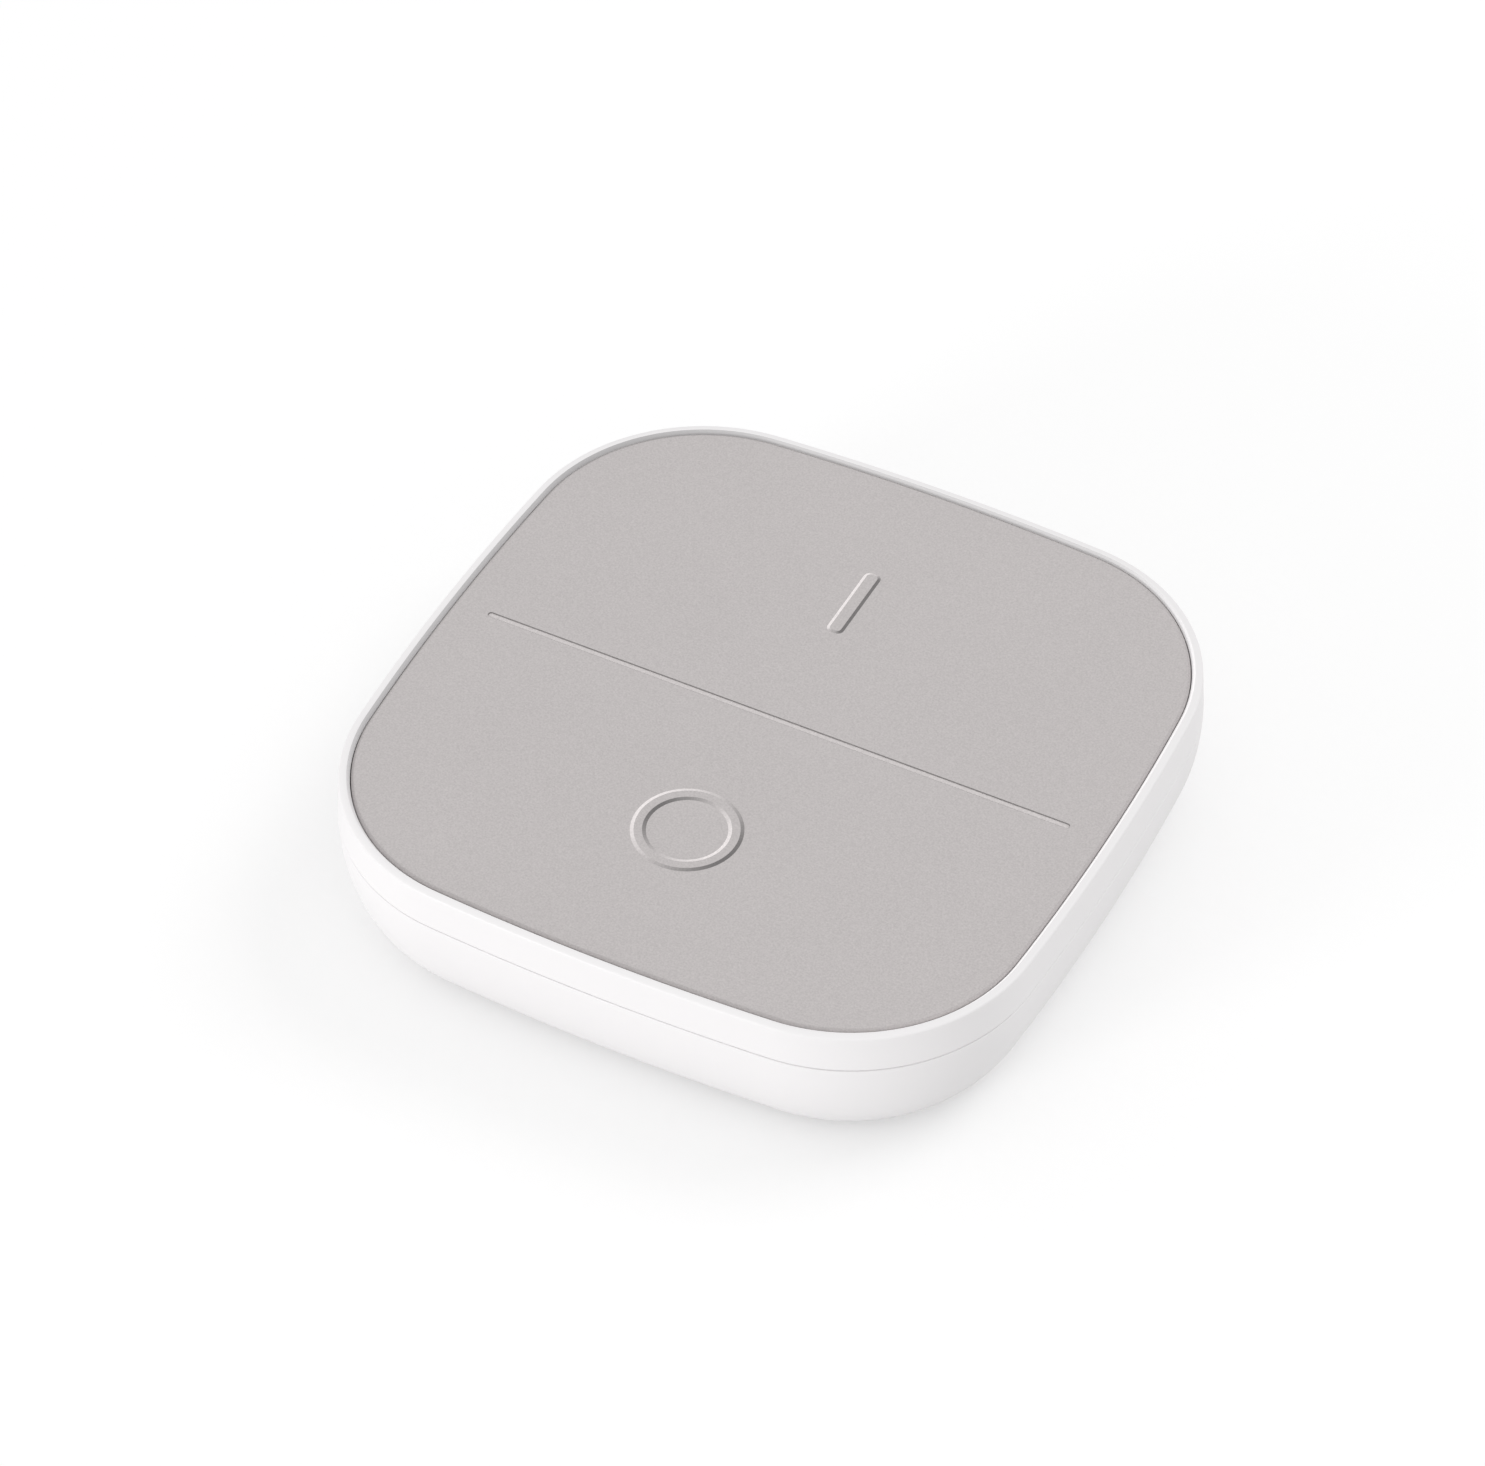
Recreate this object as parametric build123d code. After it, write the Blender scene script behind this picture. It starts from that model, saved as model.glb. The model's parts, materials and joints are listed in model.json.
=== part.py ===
from build123d import *
import math
import os

# Wireless light controller: an ON key and an OFF key in a two-piece housing, fed by a coin cell.
# Sizes are millimetres. The origin is the middle of the area the controller stands on and Z points
# up out of the keys. The groove between the keys runs along X, with the ON key on the +Y side.

# Outline of the housing
body_width = 60.4  # across the middle of two opposite sides, at the parting line
side_radius = 220.0  # each side bows out a little
corner_radius = 16.0

# Heights of the stack, from the table up
foot_stand = 0.4  # the feet hold the base this far off the table
floor_thickness = 1.6
cell_thickness = 5.0
cell_clearance = 0.1  # between the battery cover and the cell
contact_height = 0.8  # room for the contacts between the cell and the board
board_thickness = 1.0
board_to_carrier = 1.1
carrier_thickness = 1.0
key_room = 0.8  # free height under a key plate
plate_thickness = 1.0
pad_thickness = 0.78
pad_recess = 0.12  # the pads lie this far under the rim

# Lower shell
wall_thickness = 1.5
base_inset = 5.1  # how far the side curves in on its way down to the base
straight_side = 0.4  # upright part of the side under the parting line
parting_bevel = 0.15  # softens the shell's upper edge under the shadow gap
gusset_reach = 1.6  # webs that stiffen the screw bosses
gusset_height = 3.0
gusset_width = 0.8

# Upper frame
rim_to_parting = 3.5
frame_draft = 0.2  # the frame's side leans in by this much on its way up
rim_width = 0.9
rim_flat = 0.3
rim_slope = 0.13  # outside its flat, the rim's top falls by this much
rim_fillet = 0.2  # outer corner
rim_bevel = 0.12  # inner corner, beside the pads
shadow_gap = 0.12  # height of the fine gap at the parting line
shadow_gap_depth = 0.6
web_thickness = 0.6  # foot of the frame, which sits on the lower shell
tongue_width = 1.05  # the tongue reaches down inside the lower shell
tongue_gap = 0.15
ledge_width = 1.5  # the inner carrier rests on this
ledge_thickness = 0.8

# Inner carrier
carrier_gap = 0.2
screw_spacing = 35.0
carrier_boss_radius = 2.6
carrier_boss_height = 2.0
shell_boss_radius = 3.0
peg_inset_x = 2.7  # from the sides of the board
peg_inset_y = 2.5  # from the ends of the board
peg_shoulder_radius = 1.75
peg_radius = 0.9
peg_gap = 0.1
peg_end = 0.3  # how far the pegs stand through the board

# Screws and feet
screw_radius = 1.0
screw_head_radius = 1.9
screw_head_height = 1.4
screw_hole_gap = 0.15
screw_thread_gap = 0.03
screw_seat_height = 1.4  # solid boss between the floor and the screw head's seat
screw_end_gap = 0.2
foot_radius = 4.0
foot_recess = 0.5
foot_gap = 0.15
foot_bevel = 0.2

# Keys
key_gap = 0.3  # between the rim and the pads
pad_fillet = 0.3
plate_setback = 0.3  # the plates stay this far inside the pads
groove_length = 51.9
groove_width = 0.48
groove_depth = 0.3
press_boss_radius = 1.5
press_gap = 0.05

# Hinge between the keys
lug_places = (-22.0, -8.0, 8.0, 22.0)
lug_width = 1.6
ear_width = 1.3
ear_gap = 0.1
knuckle_gap = 0.1  # to the carrier below and the pads above
stub_radius = 0.4
stub_gap = 0.05
stub_end_gap = 0.1
notch_gap = 0.2
plate_split = 0.3  # gap between the two plates at the hinge line

# Hooks that stop the keys from lifting
hook_spacing = 18.0
hook_width = 4.0
hook_thickness = 0.8
hook_to_ledge = 0.6
hook_barb = 0.7
hook_barb_height = 0.85
hook_gap = 0.05
hook_slot_gap = 0.25

# Circuit board and push switches
board_side_gap = 0.3  # to the screw bosses
board_end_gap = 0.7  # to the hooks
board_corner = 1.5
switch_size = 6.0
switch_body_height = 1.3
switch_window_gap = 0.5
switch_wall = 0.6
switch_floor = 0.4
switch_cover_thickness = 0.2
switch_clip_width = 2.0
switch_clip_drop = 0.8
plunger_radius = 1.5
plunger_flange_radius = 1.9
plunger_flange_height = 0.35
plunger_gap = 0.1
plunger_height = 0.7  # above the switch's cover
dome_radius = 2.2
dome_height = 0.4
dome_sheet = 0.1

# Radio module, on the board's underside
module_length = 16.0
module_width = 10.4
module_thickness = 0.8
module_edge = 0.6
can_length = 11.0
can_width = 9.4
can_height = 1.5
can_sheet = 0.2
can_edge = 0.5
chip_size = 5.0
chip_height = 0.8
crystal_length = 2.5
crystal_width = 2.0
crystal_height = 0.6
smd_length = 1.6
smd_width = 0.8
smd_height = 0.5
smd_pitch = 4.0
smd_count = 6
smd_row = 5.0

# Battery, its contacts and its cover
module_to_well = 0.3
cell_radius = 12.25
cell_edge = 0.6  # step between the can and the lid of the cell
cell_bevel = 0.3
cell_side_gap = 0.35
cover_ring_width = 1.15
cover_ring_height = 0.9
cover_gap = 0.15
cover_flange_thickness = 0.8
cover_flange_lap = 0.7  # the flange hides the bayonet notches
cover_flange_bevel = 0.2
cover_seat_gap = 0.05
lug_reach = 1.45
lug_angle = 24.0
lug_count = 3
lug_lift = 0.1
lug_side_gap = 0.3
notch_side_angle = 2.0
unlock_angle = 35.0
stop_angle = 6.0
stop_side_angle = 1.0
well_wall = 1.2
well_gap = 0.1  # between the well and the top of the cell
rib_count = 8
rib_width = 1.2
rib_cell_gap = 0.3
rib_lug_gap = 0.3
coin_slot_length = 17.0
coin_slot_width = 2.0
coin_slot_depth = 0.8
contact_sheet = 0.2
contact_touch = 0.05
positive_width = 6.0
positive_drop = 3.5
positive_foot = 1.6
negative_width = 5.0
negative_foot = 5.0
negative_tongue = 6.0

# Places worked out from the sizes above
half_width = body_width / 2
side_centre = half_width - side_radius
radius_step = side_radius - corner_radius
corner_centre = (side_centre + math.sqrt(2 * radius_step**2 - side_centre**2)) / 2
tangent_angle = math.degrees(math.atan2(corner_centre, corner_centre - side_centre))

base_z = foot_stand
floor_z = base_z + floor_thickness
cell_z = floor_z + cell_clearance
cell_top = cell_z + cell_thickness
board_z = cell_top + contact_height
board_top = board_z + board_thickness
carrier_z = board_top + board_to_carrier
carrier_top = carrier_z + carrier_thickness
plate_z = carrier_top + key_room
plate_top = plate_z + plate_thickness
pad_top = plate_top + pad_thickness
rim_z = pad_top + pad_recess
parting_z = rim_z - rim_to_parting

tongue_inset = wall_thickness + tongue_gap
ledge_inset = tongue_inset + tongue_width
rim_inset = frame_draft + rim_width
pad_inset = rim_inset + key_gap
switch_arm = (half_width - pad_inset) / 2  # the switches sit under the middle of the keys
hook_place = half_width - ledge_inset - ledge_width - hook_to_ledge - hook_barb - hook_thickness / 2
boss_joint_z = carrier_z - carrier_boss_height
screw_seat_z = floor_z + screw_seat_height
knuckle_radius = (key_room + plate_thickness) / 2 - knuckle_gap
hinge_z = carrier_top + knuckle_gap + knuckle_radius
switch_top = board_top + switch_body_height + switch_cover_thickness
plunger_top = switch_top + plunger_height

cover_radius = cell_radius + cell_side_gap + cover_ring_width
opening_radius = cover_radius + cover_gap
lug_radius = cover_radius + lug_reach
well_radius = lug_radius + lug_side_gap
flange_radius = lug_radius + cover_flange_lap

board_width = screw_spacing - 2 * (shell_boss_radius + board_side_gap)
board_length = 2 * (hook_place - hook_thickness / 2 - board_end_gap)
peg_spacing_x = board_width - 2 * peg_inset_x
peg_spacing_y = board_length - 2 * peg_inset_y
module_y = board_length / 2 - module_edge - module_width / 2
can_x = can_edge + can_length / 2 - module_length / 2
can_part_gap = (can_length - 2 * can_sheet - chip_size - crystal_length) / 3
battery_y = module_y - module_width / 2 - module_to_well - well_wall - well_radius
rib_z = floor_z + cover_ring_height + rib_lug_gap
well_top = cell_top - well_gap
upright = (Align.CENTER, Align.CENTER, Align.MIN)


def body_path(inset, z):
    """Closed path along the body's outline, moved in by inset: bowed sides and round corners."""
    corner_span = 90 - 2 * tangent_angle
    side = CenterArc((side_centre, 0), side_radius - inset, 0, tangent_angle)
    corner = CenterArc((corner_centre, corner_centre), corner_radius - inset, tangent_angle, corner_span)
    next_side = CenterArc((0, side_centre), side_radius - inset, 90 - tangent_angle, tangent_angle)
    edges = []
    for turn in range(4):
        for arc in (side, corner, next_side):
            edges.append(Pos(0, 0, z) * Rot(0, 0, 90 * turn) * arc)
    return Wire(edges)


def slab(inset, bottom, top):
    """Solid with the body's outline, moved in by inset, between two heights."""
    return extrude(Face(body_path(inset, bottom)), amount=top - bottom, dir=(0, 0, 1))


def swept_ring(profile):
    """Ring made by carrying a section, drawn in X and Z at the middle of a side, round the outline."""
    return sweep(Plane.XZ * profile, path=body_path(0, 0))


def rod(radius, bottom, top, x=0.0, y=0.0):
    """Upright cylinder between two heights."""
    return Pos(x, y, bottom) * Cylinder(radius, top - bottom, align=upright)


def lying_rod(radius, x_low, x_high, z):
    """Cylinder along X on the hinge line."""
    return Pos(x_low, 0, z) * Rot(0, 90, 0) * Cylinder(radius, x_high - x_low, align=upright)


def block(x_size, y_size, bottom, top, x=0.0, y=0.0):
    """Upright box between two heights."""
    return Pos(x, y, bottom) * Box(x_size, y_size, top - bottom, align=upright)


def ring_part(inner, outer, angle, bottom, top):
    """Piece of a flat ring, centred on the X axis and spanning an angle."""
    arc_piece = Sketch() + Circle(outer) - Circle(inner)
    reach = 2 * outer
    half_span = reach * math.tan(math.radians(angle / 2))
    wedge = make_face(Polyline((0, 0), (reach, -half_span), (reach, half_span), close=True))
    return Pos(0, 0, bottom) * extrude(arc_piece & wedge, amount=top - bottom)


def four_places(x_spacing, y_spacing):
    """Centres of four features on a rectangle."""
    return [(x, y) for x in (-x_spacing / 2, x_spacing / 2) for y in (-y_spacing / 2, y_spacing / 2)]


def shell_wall():
    """Wall of the lower shell: upright under the parting line, then a quarter of an ellipse to the base."""
    curve_top = parting_z - straight_side
    outer_foot = half_width - base_inset
    inner_top = half_width - wall_thickness
    inner_foot = inner_top - base_inset
    quarter = {"start_angle": 270, "arc_size": 90}
    outer_curve = EllipticalCenterArc((outer_foot, curve_top), base_inset, curve_top - base_z, **quarter)
    inner_curve = EllipticalCenterArc((inner_foot, curve_top), base_inset, curve_top - floor_z, **quarter)
    edge = Polyline(
        (half_width, curve_top),
        (half_width, parting_z - parting_bevel),
        (half_width - parting_bevel, parting_z),
        (inner_top, parting_z),
        (inner_top, curve_top),
    )
    floor_end = Polyline((inner_foot, floor_z), (inner_foot, base_z), (outer_foot, base_z))
    return swept_ring(make_face([outer_curve, *edge.edges(), inner_curve, *floor_end.edges()]))


def battery_well():
    """Round wall about the cell, with ribs that centre it and stops for the cover's bayonet lugs."""
    well = rod(well_radius + well_wall, floor_z, well_top) - rod(well_radius, floor_z, well_top)
    rib_inner = cell_radius + rib_cell_gap
    rib_length = well_radius + well_wall / 2 - rib_inner
    rib = block(rib_length, rib_width, rib_z, well_top, rib_inner + rib_length / 2)
    for index in range(rib_count):
        well += Rot(0, 0, 360 * (index + 0.5) / rib_count) * rib
    stop = ring_part(opening_radius, well_radius + well_wall / 2, stop_angle, floor_z, rib_z)
    stop_turn = (lug_angle + stop_angle) / 2 + stop_side_angle
    for index in range(lug_count):
        lug_place = 360 * index / lug_count
        well += Rot(0, 0, lug_place + stop_turn) * stop
        well += Rot(0, 0, lug_place - unlock_angle - stop_turn) * stop
    return Pos(0, battery_y, 0) * well


def cover_opening():
    """Space cut from the base for the battery cover: bore, flange recess and bayonet notches."""
    recess_top = base_z + cover_flange_thickness + cover_seat_gap
    opening = rod(opening_radius, base_z, floor_z) + rod(flange_radius + cover_gap, base_z, recess_top)
    notch_angle = lug_angle + 2 * notch_side_angle
    notch = ring_part(cover_radius, lug_radius + cover_gap, notch_angle, base_z, floor_z)
    for index in range(lug_count):
        opening += Rot(0, 0, 360 * index / lug_count - unlock_angle) * notch
    return Pos(0, battery_y, 0) * opening


def lower_shell():
    """Deep tray with softly curved sides, the battery well, its cover's opening and the screw bosses."""
    shell = shell_wall() + slab(base_inset + wall_thickness, base_z, floor_z)
    shell += battery_well()
    shell -= cover_opening()
    gusset_length = 2 * (shell_boss_radius + gusset_reach)
    gusset_top = floor_z + gusset_height
    for x, y in four_places(screw_spacing, screw_spacing):
        shell += rod(shell_boss_radius, floor_z, boss_joint_z, x, y)
        shell += block(gusset_length, gusset_width, floor_z, gusset_top, x, y)
        shell += block(gusset_width, gusset_length, floor_z, gusset_top, x, y)
        shell -= rod(foot_radius + foot_gap, base_z, base_z + foot_recess, x, y)
        shell -= rod(screw_head_radius + screw_hole_gap, base_z, screw_seat_z, x, y)
        shell -= rod(screw_radius + screw_hole_gap, base_z, boss_joint_z, x, y)
    return shell


def upper_frame():
    """Ring round the keys: rim, foot on the lower shell, tongue inside it and ledge for the carrier."""
    rim_inner = half_width - rim_inset
    rim_outer = half_width - frame_draft
    gap_inner = half_width - shadow_gap_depth
    tongue_outer = half_width - tongue_inset
    tongue_inner = half_width - ledge_inset
    ledge_inner = tongue_inner - ledge_width
    tongue_z = carrier_z - ledge_thickness
    section = make_face(
        Polyline(
            (gap_inner, parting_z),
            (gap_inner, parting_z + shadow_gap),
            (half_width, parting_z + shadow_gap),
            (rim_outer, rim_z - rim_slope),
            (rim_inner + rim_flat, rim_z),
            (rim_inner + rim_bevel, rim_z),
            (rim_inner, rim_z - rim_bevel),
            (rim_inner, parting_z + web_thickness),
            (tongue_inner, parting_z + web_thickness),
            (tongue_inner, carrier_z),
            (ledge_inner, carrier_z),
            (ledge_inner, tongue_z),
            (tongue_outer, tongue_z),
            (tongue_outer, parting_z),
            close=True,
        )
    )
    outer_corner = section.vertices().sort_by_distance((rim_outer, rim_z - rim_slope))[0]
    return swept_ring(fillet(outer_corner, radius=rim_fillet))


def inner_carrier():
    """Flat chassis for the keys and the board: hinge lugs above, bosses and staking pegs below."""
    carrier = slab(ledge_inset + carrier_gap, carrier_z, carrier_top)
    window = switch_size + 2 * switch_window_gap
    slot_y = hook_thickness + 2 * hook_slot_gap
    slot_x = hook_width + 2 * hook_slot_gap
    for side in (-1, 1):
        carrier -= block(window, window, carrier_z, carrier_top, 0, side * switch_arm)
    for x, y in four_places(hook_spacing, 2 * hook_place):
        carrier -= block(slot_x, slot_y, carrier_z, carrier_top, x, y)
    for x, y in four_places(peg_spacing_x, peg_spacing_y):
        carrier += rod(peg_shoulder_radius, board_top, carrier_z, x, y)
        carrier += rod(peg_radius, board_z - peg_end, board_top, x, y)
    pilot_top = carrier_top - carrier_thickness / 2
    for x, y in four_places(screw_spacing, screw_spacing):
        carrier += rod(carrier_boss_radius, boss_joint_z, carrier_z, x, y)
        carrier -= rod(screw_radius + screw_thread_gap, boss_joint_z, pilot_top, x, y)
    for x in lug_places:
        low, high = x - lug_width / 2, x + lug_width / 2
        carrier += block(lug_width, 2 * knuckle_radius, carrier_top, hinge_z, x)
        carrier += lying_rod(knuckle_radius, low, high, hinge_z)
        carrier -= lying_rod(stub_radius + stub_gap, low, high, hinge_z)
    return carrier


def key_half(shape):
    """The half of a shape that lies on the ON key's side."""
    return shape & block(body_width, half_width, 0, 2 * rim_z, 0, half_width / 2)


def on_key_plate():
    """Stiff plate under the ON pad, with hinge ears, hooks and the boss that presses the switch."""
    plate = key_half(slab(pad_inset + plate_setback, plate_z, plate_top))
    plate -= block(body_width, plate_split, plate_z, plate_top)
    notch_reach = knuckle_radius + notch_gap
    notch_x = lug_width + 2 * (ear_gap + ear_width + notch_gap)
    ear_top = plate_top - knuckle_gap
    for x in lug_places:
        plate -= block(notch_x, 2 * notch_reach, plate_z, plate_top, x)
        low = x + lug_width / 2 + ear_gap
        arm_reach = 2 * notch_reach
        plate += lying_rod(knuckle_radius, low, low + ear_width, hinge_z)
        plate += block(ear_width, arm_reach, hinge_z, ear_top, low + ear_width / 2, arm_reach / 2)
        plate += lying_rod(stub_radius, x + stub_end_gap, low, hinge_z)
    plate += rod(press_boss_radius, plunger_top + press_gap, plate_z, 0, switch_arm)
    barb_top = carrier_z - hook_gap
    barb_z = barb_top - hook_barb_height
    barb_y = hook_place + hook_barb / 2
    for x in (-hook_spacing / 2, hook_spacing / 2):
        plate += block(hook_width, hook_thickness, barb_z, plate_z, x, hook_place)
        plate += block(hook_width, hook_thickness + hook_barb, barb_z, barb_top, x, barb_y)
    return plate


def on_key_pad():
    """Soft grey half of the key pad, with its share of the groove over the hinge line."""
    pad = slab(pad_inset, plate_top, pad_top)
    pad = fillet(pad.edges().group_by(Axis.Z)[-1], radius=pad_fillet)
    groove = extrude(SlotOverall(groove_length, groove_width), groove_depth)
    return key_half(pad - Pos(0, 0, pad_top - groove_depth) * groove)


def circuit_board():
    """Main board, with holes for the carrier's staking pegs."""
    outline = RectangleRounded(board_width, board_length, board_corner)
    board = Pos(0, 0, board_z) * extrude(outline, board_thickness)
    for x, y in four_places(peg_spacing_x, peg_spacing_y):
        board -= rod(peg_radius + peg_gap, board_z, board_top, x, y)
    return board


def on_switch_base():
    """Moulded body of the ON push switch, open at the top for the dome and the plunger."""
    top = board_top + switch_body_height
    body = block(switch_size, switch_size, board_top, top, 0, switch_arm)
    return body - rod(switch_size / 2 - switch_wall, board_top + switch_floor, top, 0, switch_arm)


def on_switch_cover():
    """Sheet metal lid of the ON switch, with a clip down two of its sides."""
    z = board_top + switch_body_height
    cover = block(switch_size, switch_size, z, switch_top, 0, switch_arm)
    cover -= rod(plunger_radius + plunger_gap, z, switch_top, 0, switch_arm)
    for side in (-1, 1):
        x = side * (switch_size + switch_cover_thickness) / 2
        clip_z = z - switch_clip_drop
        cover += block(switch_cover_thickness, switch_clip_width, clip_z, switch_top, x, switch_arm)
    return cover


def on_switch_plunger():
    """Plunger of the ON switch, kept in by its flange under the lid."""
    flange_top = board_top + switch_body_height - press_gap
    plunger = rod(plunger_flange_radius, flange_top - plunger_flange_height, flange_top, 0, switch_arm)
    return plunger + rod(plunger_radius, flange_top, plunger_top, 0, switch_arm)


def on_switch_dome():
    """Snap dome under the plunger: a thin cap of a sphere standing on the switch's floor."""
    z = board_top + switch_floor
    ball = (dome_radius**2 + dome_height**2) / (2 * dome_height)
    cap = Sphere(ball) - Sphere(ball - dome_sheet)
    cap = Pos(0, switch_arm, z + dome_height - ball) * cap
    return cap & rod(dome_radius, z, z + dome_height, 0, switch_arm)


def radio_module_board():
    """Small board soldered under the main board, with its antenna end left clear of the can."""
    return block(module_length, module_width, board_z - module_thickness, board_z, 0, module_y)


def radio_shield_can():
    """Drawn metal can over the radio parts, open towards the module board."""
    top = board_z - module_thickness
    z = top - can_height
    can = block(can_length, can_width, z, top, can_x, module_y)
    inner_x, inner_y = can_length - 2 * can_sheet, can_width - 2 * can_sheet
    return can - block(inner_x, inner_y, z + can_sheet, top, can_x, module_y)


def radio_chip():
    """Radio chip on the module board, inside the can."""
    top = board_z - module_thickness
    x = can_x - can_length / 2 + can_sheet + can_part_gap + chip_size / 2
    return block(chip_size, chip_size, top - chip_height, top, x, module_y)


def crystal():
    """Clock crystal beside the radio chip."""
    top = board_z - module_thickness
    x = can_x + can_length / 2 - can_sheet - can_part_gap - crystal_length / 2
    return block(crystal_length, crystal_width, top - crystal_height, top, x, module_y)


def surface_mount_parts():
    """Two rows of small parts on the top of the main board."""
    parts = []
    for row in (-1, 1):
        for index in range(smd_count):
            x = (index - (smd_count - 1) / 2) * smd_pitch
            parts.append(block(smd_length, smd_width, board_top, board_top + smd_height, x, row * smd_row))
    return Compound(parts)


def coin_cell():
    """Coin cell: the can faces the battery cover and the smaller lid faces the board."""
    lid = rod(cell_radius - cell_edge, cell_z, cell_top)
    can = rod(cell_radius, cell_z, cell_top - cell_edge)
    cell = can + lid
    return Pos(0, battery_y, 0) * chamfer(cell.edges().group_by(Axis.Z)[0], length=cell_bevel)


def battery_positive_contact():
    """Angle of sheet metal: its foot is on the board and its leaf touches the side of the cell."""
    x = cell_radius + contact_touch
    foot_x = x + positive_foot / 2
    leaf_x = x + contact_sheet / 2
    foot = block(positive_foot, positive_width, board_z - contact_sheet, board_z, foot_x, battery_y)
    leaf = block(contact_sheet, positive_width, board_z - positive_drop, board_z, leaf_x, battery_y)
    return foot + leaf


def battery_negative_contact():
    """Leaf spring that leans from the board down to the lid of the cell."""
    tip_z = cell_top + contact_touch
    foot_z = board_z - contact_sheet
    side = make_face(
        Polyline(
            (-negative_foot, board_z),
            (0, board_z),
            (negative_tongue, tip_z + contact_sheet),
            (negative_tongue, tip_z),
            (0, foot_z),
            (-negative_foot, foot_z),
            close=True,
        )
    )
    return Pos(0, battery_y, 0) * extrude(Plane.XZ * side, amount=negative_width / 2, both=True)


def battery_cover():
    """Round cover with a coin slot below and a ring with bayonet lugs inside."""
    lug_z = floor_z + lug_lift
    ring_top = floor_z + cover_ring_height
    flange = rod(flange_radius, base_z, base_z + cover_flange_thickness)
    flange = chamfer(flange.edges().group_by(Axis.Z)[0], length=cover_flange_bevel)
    cover = flange + rod(cover_radius, base_z, ring_top)
    cover -= rod(cover_radius - cover_ring_width, floor_z, ring_top)
    for index in range(lug_count):
        lug = ring_part(cover_radius - cover_ring_width, lug_radius, lug_angle, lug_z, ring_top)
        cover += Rot(0, 0, 360 * index / lug_count) * lug
    slot = Pos(0, 0, base_z) * extrude(SlotOverall(coin_slot_length, coin_slot_width), coin_slot_depth)
    return Pos(0, battery_y, 0) * (cover - slot)


def housing_screws():
    """Four screws from the base up into the carrier; the feet hide their heads."""
    screws = []
    screw_end = carrier_top - carrier_thickness / 2 - screw_end_gap
    for x, y in four_places(screw_spacing, screw_spacing):
        head = rod(screw_head_radius, screw_seat_z - screw_head_height, screw_seat_z, x, y)
        screws.append(head + rod(screw_radius, screw_seat_z, screw_end, x, y))
    return Compound(screws)


def feet():
    """Four soft round feet in recesses of the base."""
    foot = rod(foot_radius, 0, base_z + foot_recess)
    foot = chamfer(foot.edges().group_by(Axis.Z)[0], length=foot_bevel)
    return Compound([Pos(x, y, 0) * foot for x, y in four_places(screw_spacing, screw_spacing)])


def off_side(shape):
    """The OFF key's parts are the ON key's parts turned half a turn about Z."""
    return Rot(0, 0, 180) * shape


on_side_parts = {
    "key_plate": on_key_plate(),
    "key_pad": on_key_pad(),
    "switch_base": on_switch_base(),
    "switch_cover": on_switch_cover(),
    "switch_plunger": on_switch_plunger(),
    "switch_dome": on_switch_dome(),
}
single_parts = {
    "lower_shell": lower_shell(),
    "upper_frame": upper_frame(),
    "inner_carrier": inner_carrier(),
    "circuit_board": circuit_board(),
    "radio_module_board": radio_module_board(),
    "radio_shield_can": radio_shield_can(),
    "radio_chip": radio_chip(),
    "crystal": crystal(),
    "surface_mount_parts": surface_mount_parts(),
    "coin_cell": coin_cell(),
    "battery_positive_contact": battery_positive_contact(),
    "battery_negative_contact": battery_negative_contact(),
    "battery_cover": battery_cover(),
    "housing_screws": housing_screws(),
    "feet": feet(),
}

os.makedirs("parts", exist_ok=True)
for name, shape in single_parts.items():
    export_step(shape, f"parts/{name}.step")
for name, shape in on_side_parts.items():
    export_step(shape, f"parts/on_{name}.step")
    export_step(off_side(shape), f"parts/off_{name}.step")
print("half width", half_width, "rim height", round(rim_z, 3), "parting height", round(parting_z, 3))
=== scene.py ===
# %% [markdown]
# # A wireless light controller
#
# A palm-size controller with two keys under one soft grey pad, in a white two-piece housing.
# A raised bar marks ON, a raised ring marks OFF, and a shallow groove runs between the keys.
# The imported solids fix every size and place. This lesson dresses them: smooth copies of what shows,
# the two raised marks, and a finish built from nodes for each material.

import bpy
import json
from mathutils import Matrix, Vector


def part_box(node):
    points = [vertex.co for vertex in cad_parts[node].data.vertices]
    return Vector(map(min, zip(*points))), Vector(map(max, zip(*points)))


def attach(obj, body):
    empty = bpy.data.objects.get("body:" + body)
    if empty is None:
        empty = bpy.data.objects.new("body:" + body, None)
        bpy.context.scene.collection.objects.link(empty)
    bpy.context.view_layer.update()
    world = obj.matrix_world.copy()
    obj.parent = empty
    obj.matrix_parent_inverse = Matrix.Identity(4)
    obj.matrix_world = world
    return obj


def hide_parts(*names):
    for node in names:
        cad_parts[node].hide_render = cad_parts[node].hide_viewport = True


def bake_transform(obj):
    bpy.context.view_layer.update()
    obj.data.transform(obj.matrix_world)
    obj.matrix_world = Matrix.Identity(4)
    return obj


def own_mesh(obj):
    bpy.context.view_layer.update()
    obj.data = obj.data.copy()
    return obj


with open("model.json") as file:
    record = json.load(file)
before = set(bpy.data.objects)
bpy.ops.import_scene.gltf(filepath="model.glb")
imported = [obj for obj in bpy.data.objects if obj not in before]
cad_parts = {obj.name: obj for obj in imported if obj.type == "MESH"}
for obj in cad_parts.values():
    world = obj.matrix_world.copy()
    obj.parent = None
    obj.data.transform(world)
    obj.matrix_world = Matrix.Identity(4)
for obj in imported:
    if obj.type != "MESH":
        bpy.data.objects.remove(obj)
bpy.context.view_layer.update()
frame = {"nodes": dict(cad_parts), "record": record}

# %% [markdown]
# Blender works in metres and a product is drawn in millimetres, so every size below is in
# millimetres and is multiplied by MM once, where a vertex is made. Sizes that the solids already
# have are read from their boxes, so the dressed pieces follow the solids.

# %% Units and sizes
import json
import math

import bmesh
import bpy
from mathutils import Matrix, Vector

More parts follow.
